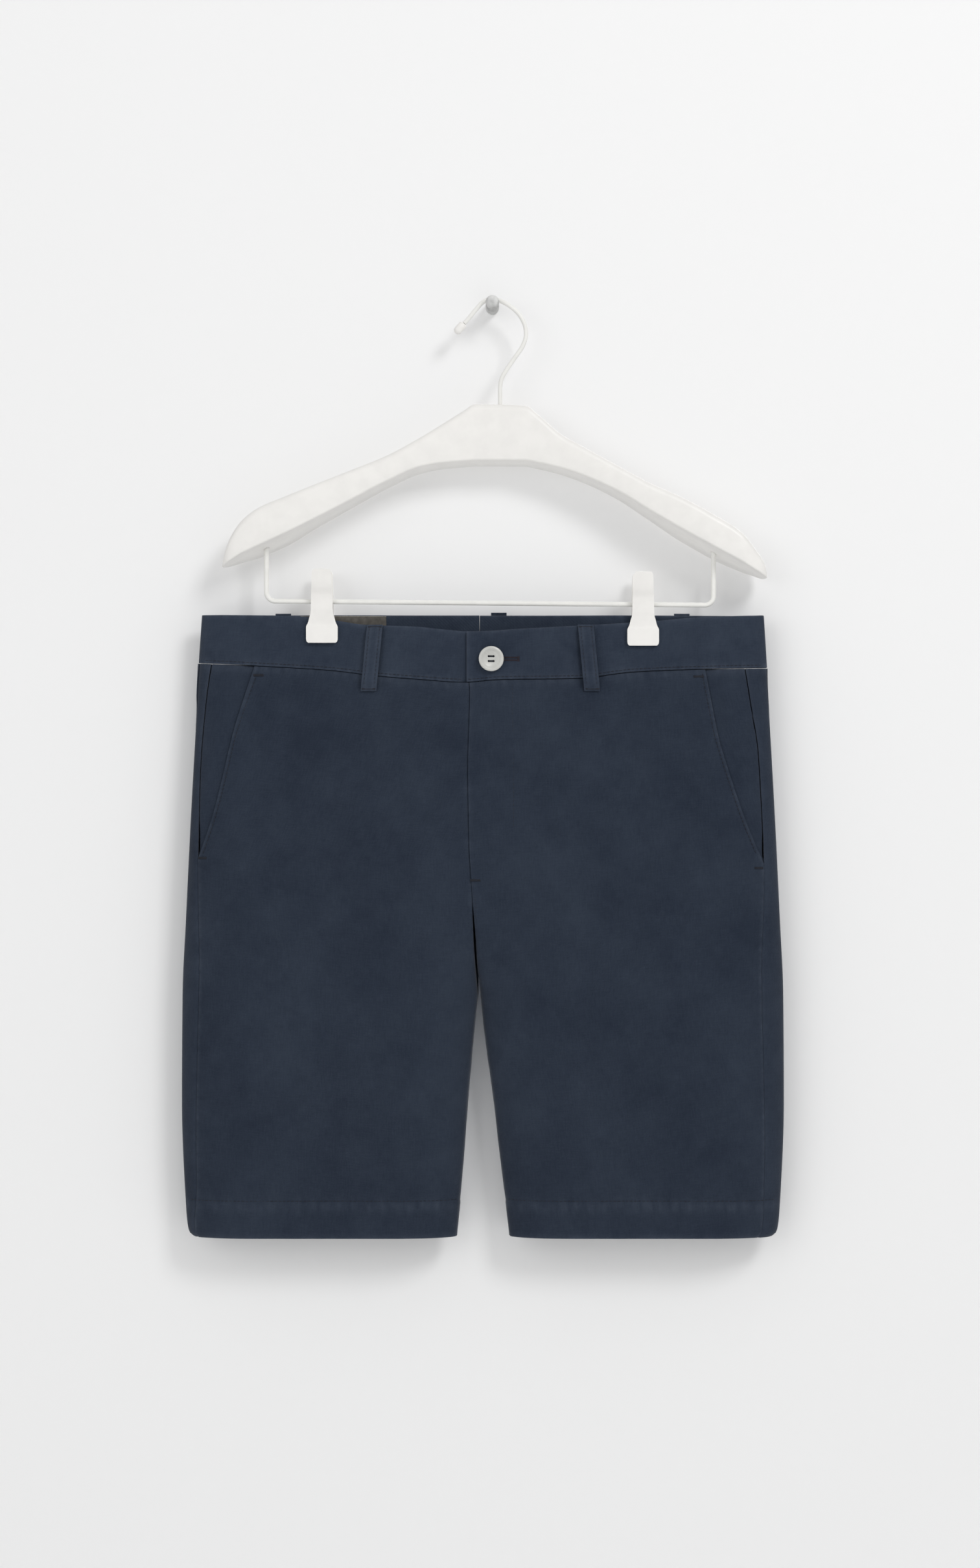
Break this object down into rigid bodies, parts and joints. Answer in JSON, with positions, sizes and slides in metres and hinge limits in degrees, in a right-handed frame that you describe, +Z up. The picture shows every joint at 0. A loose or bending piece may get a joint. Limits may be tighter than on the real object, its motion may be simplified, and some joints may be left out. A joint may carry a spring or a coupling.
{
  "type": "bermuda shorts on a clip hanger",
  "caption": "Knee-length chino shorts clipped flat by the waistband to a moulded hanger whose wire hook hangs on a wall peg.",
  "frame": {"origin": "centre of the wall peg's flat back face, on the wall", "axes": "+X to the right as the front of the shorts is seen, +Y into the wall, +Z up"},
  "size_m": [0.4764, 0.0422, 0.7431],
  "materials": {
    "navy_cloth": "matte dark navy cotton twill",
    "label_cloth": "plain taupe woven label, bare",
    "white_plastic": "off-white satin moulding",
    "coated_wire": "off-white coated wire",
    "pearl_button": "pale pearl button",
    "navy_thread": "dark navy thread",
    "peg_stone": "mottled pale grey, fluted"
  },
  "bodies": {
    "root": {"back_panel_left": "navy_cloth", "back_panel_right": "navy_cloth", "belt_loop_back_left": "navy_cloth", "belt_loop_back_right": "navy_cloth", "belt_loop_centre_back": "navy_cloth", "belt_loop_front_left": "navy_cloth", "belt_loop_front_right": "navy_cloth", "button": "pearl_button", "button_thread": "navy_thread", "clip_bar": "coated_wire", "clip_left_back": "white_plastic", "clip_left_barrel": "white_plastic", "clip_left_front": "white_plastic", "clip_right_back": "white_plastic", "clip_right_barrel": "white_plastic", "clip_right_front": "white_plastic", "fly_shield": "navy_cloth", "front_panel_left": "navy_cloth", "front_panel_right": "navy_cloth", "hanger_body": "white_plastic", "hem_turn_up_left": "navy_cloth", "hem_turn_up_right": "navy_cloth", "hook": "coated_wire", "hook_tip": "white_plastic", "label": "label_cloth", "pocket_bag_left": "navy_cloth", "pocket_bag_right": "navy_cloth", "pocket_facing_left": "navy_cloth", "pocket_facing_right": "navy_cloth", "waistband_left": "navy_cloth", "waistband_right": "navy_cloth", "wall_peg": "peg_stone"}
  },
  "joints": []
}
